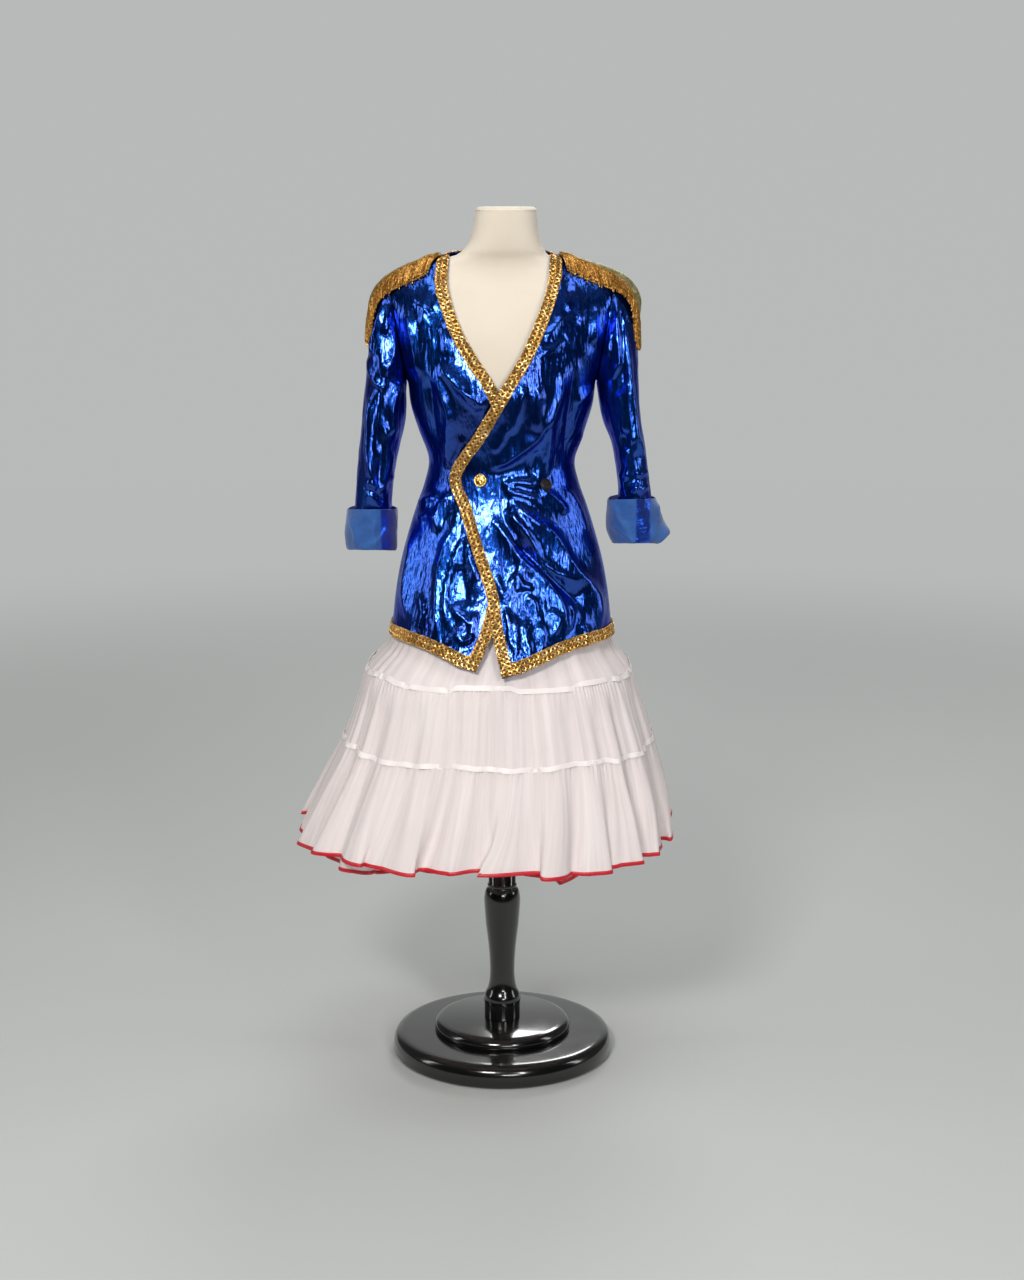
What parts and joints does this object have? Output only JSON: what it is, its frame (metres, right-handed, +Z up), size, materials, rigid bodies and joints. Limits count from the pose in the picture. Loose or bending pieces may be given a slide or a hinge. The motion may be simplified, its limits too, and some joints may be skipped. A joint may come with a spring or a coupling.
{
  "type": "ringmaster costume on a dress form and stand",
  "caption": "Metallic blue double-breasted jacket with fringed epaulettes over a tiered net petticoat, on a limbless dress form with a turned stand.",
  "frame": {"origin": "centre of the stand's underside", "axes": "+Z up, -Y out of the costume's front, +X to the wearer's left"},
  "size_m": [0.6456, 0.6168, 1.4485],
  "materials": {
    "black_lacquer": "gloss black lacquer on turned wood",
    "cream_jersey": "matt cotton jersey",
    "blue_lame": "foil-faced lame, crinkled, mirror-like",
    "blue_lining": "matt wrong side of the lame",
    "gold_sequins": "gold sequins and beads on braid",
    "olive_lame": "dull gold lame",
    "gold_button": "polished",
    "dark_button": "dark bronze",
    "white_net": "gathered nylon net",
    "white_satin": "satin ribbon",
    "red_satin": "satin binding"
  },
  "bodies": {
    "root": {"stand_base": "black_lacquer", "stand_step": "black_lacquer", "stand_post": "black_lacquer", "form_torso": "cream_jersey", "jacket_front_left": "blue_lame", "jacket_front_right": "blue_lame", "jacket_back": "blue_lame", "sleeve_left": "blue_lame", "sleeve_right": "blue_lame", "cuff_left": "blue_lining", "cuff_right": "blue_lining", "braid_front_left": "gold_sequins", "braid_front_right": "gold_sequins", "braid_back_hem": "gold_sequins", "braid_back_neck": "gold_sequins", "epaulette_pad_left": "olive_lame", "epaulette_pad_right": "olive_lame", "epaulette_fringe_left": "gold_sequins", "epaulette_fringe_right": "gold_sequins", "button_gold": "gold_button", "button_dark": "dark_button", "petticoat_waistband": "white_satin", "petticoat_tier_upper": "white_net", "petticoat_tier_middle": "white_net", "petticoat_flounce": "white_net", "petticoat_under_flounce": "white_net", "ribbon_upper": "white_satin", "ribbon_lower": "white_satin", "binding_flounce": "red_satin", "binding_under_flounce": "red_satin"}
  },
  "joints": []
}
